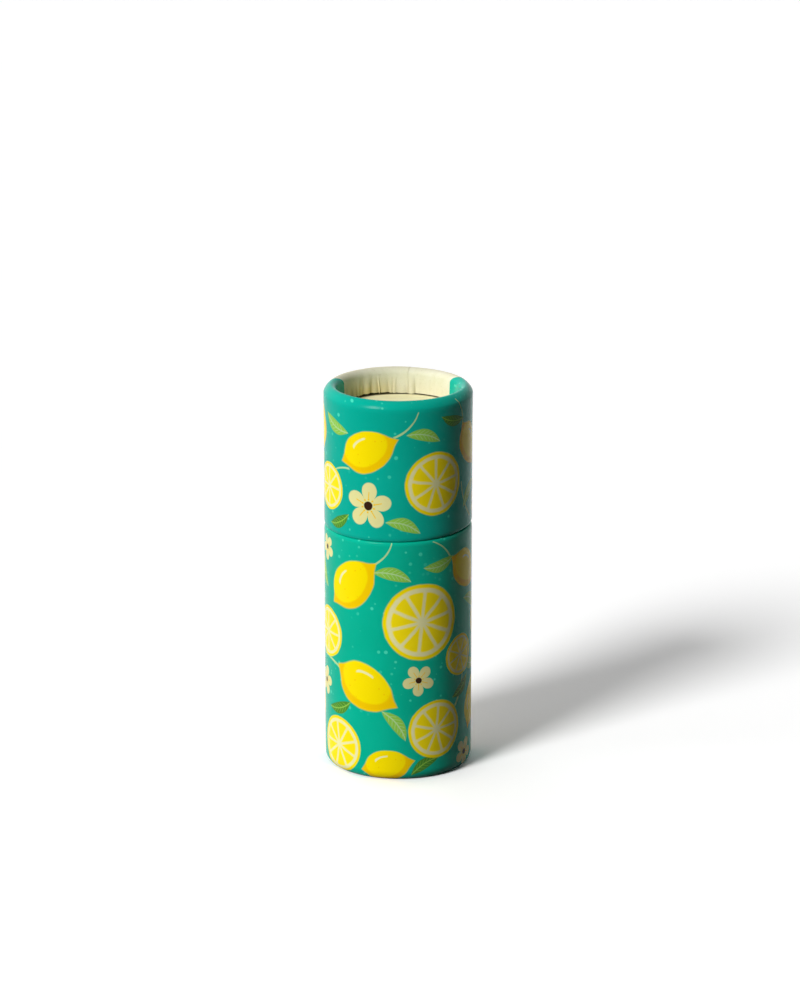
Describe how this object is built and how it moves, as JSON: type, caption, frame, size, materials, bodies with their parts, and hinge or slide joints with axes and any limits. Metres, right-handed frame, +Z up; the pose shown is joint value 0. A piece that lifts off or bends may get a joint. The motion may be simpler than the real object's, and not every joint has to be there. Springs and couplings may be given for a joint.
{
  "type": "lip balm stick",
  "caption": "Round push-up lip balm stick in a printed paperboard tube, with a pull-off cap, rolled rims and a finger-pushed plunger.",
  "frame": {"origin": "centre of the foot, on the surface that the tube stands on", "axes": "+Z up the tube's axis towards the cap, -Y the printed front, +Y the plain back panel"},
  "size_m": [0.022, 0.022, 0.0581],
  "materials": {
    "printed_wrap": "satin",
    "tube_board": "matte",
    "cream_facing": "matte",
    "neck_board": "matte",
    "greaseproof": "satin",
    "plunger_board": "matte",
    "balm": "satin"
  },
  "bodies": {
    "base": {"base_wrap": "printed_wrap", "base_tube": "tube_board", "neck_tube": "neck_board", "neck_liner": "greaseproof"},
    "plunger": {"push_cup": "plunger_board", "push_pad": "plunger_board", "pad_facing": "greaseproof", "balm_stick": "balm"},
    "cap": {"cap_wrap": "printed_wrap", "cap_tube": "tube_board", "cap_disc": "tube_board", "cap_disc_facing": "cream_facing"}
  },
  "joints": [
    {"name": "push_up", "type": "slide", "parent": "base", "child": "plunger", "axis": [0, 0, 1], "range_m": [0, 0.0416]},
    {"name": "cap_pull", "type": "slide", "parent": "plunger", "child": "cap", "axis": [0, 0, 1], "range_m": [0, 0.03]}
  ]
}
